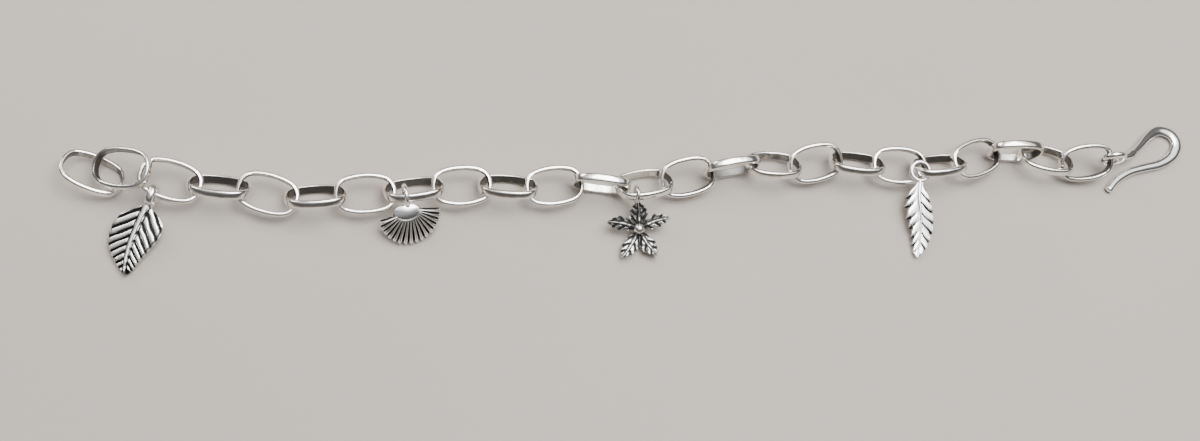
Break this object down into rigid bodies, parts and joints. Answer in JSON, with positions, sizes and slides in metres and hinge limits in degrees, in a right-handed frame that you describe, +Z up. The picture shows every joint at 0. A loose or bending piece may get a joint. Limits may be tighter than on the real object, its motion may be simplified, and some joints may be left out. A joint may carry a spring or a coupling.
{
  "type": "charm bracelet",
  "caption": "Silver charm bracelet lying open: an oval belcher chain with a hook clasp and leaf, shell, flower and feather charms on small bails.",
  "frame": {"origin": "under the middle of the bounding box, on the surface the bracelet lies on", "axes": "+X along the chain towards the hook clasp, +Y across the chain away from the charms, +Z up from the surface"},
  "size_m": [0.1904, 0.0234, 0.0067],
  "materials": {
    "link_silver": "hand polished silver, darkened inside the links",
    "charm_silver": "polished silver with dark oxidised grooves",
    "hook_silver": "polished silver wire"
  },
  "bodies": {
    "root": {"link_01": "link_silver", "link_02": "link_silver", "link_03": "link_silver", "link_04": "link_silver", "link_05": "link_silver", "link_06": "link_silver", "link_07": "link_silver", "link_08": "link_silver", "link_09": "link_silver", "link_10": "link_silver", "link_11": "link_silver", "link_12": "link_silver", "link_13": "link_silver", "link_14": "link_silver", "link_15": "link_silver", "link_16": "link_silver", "link_17": "link_silver", "link_18": "link_silver", "link_19": "link_silver", "link_20": "link_silver", "link_21": "link_silver", "link_22": "link_silver", "link_23": "link_silver", "link_24": "link_silver", "leaf_charm": "charm_silver", "shell_charm": "charm_silver", "flower_charm": "charm_silver", "feather_charm": "charm_silver", "hook_clasp": "hook_silver"}
  },
  "joints": []
}
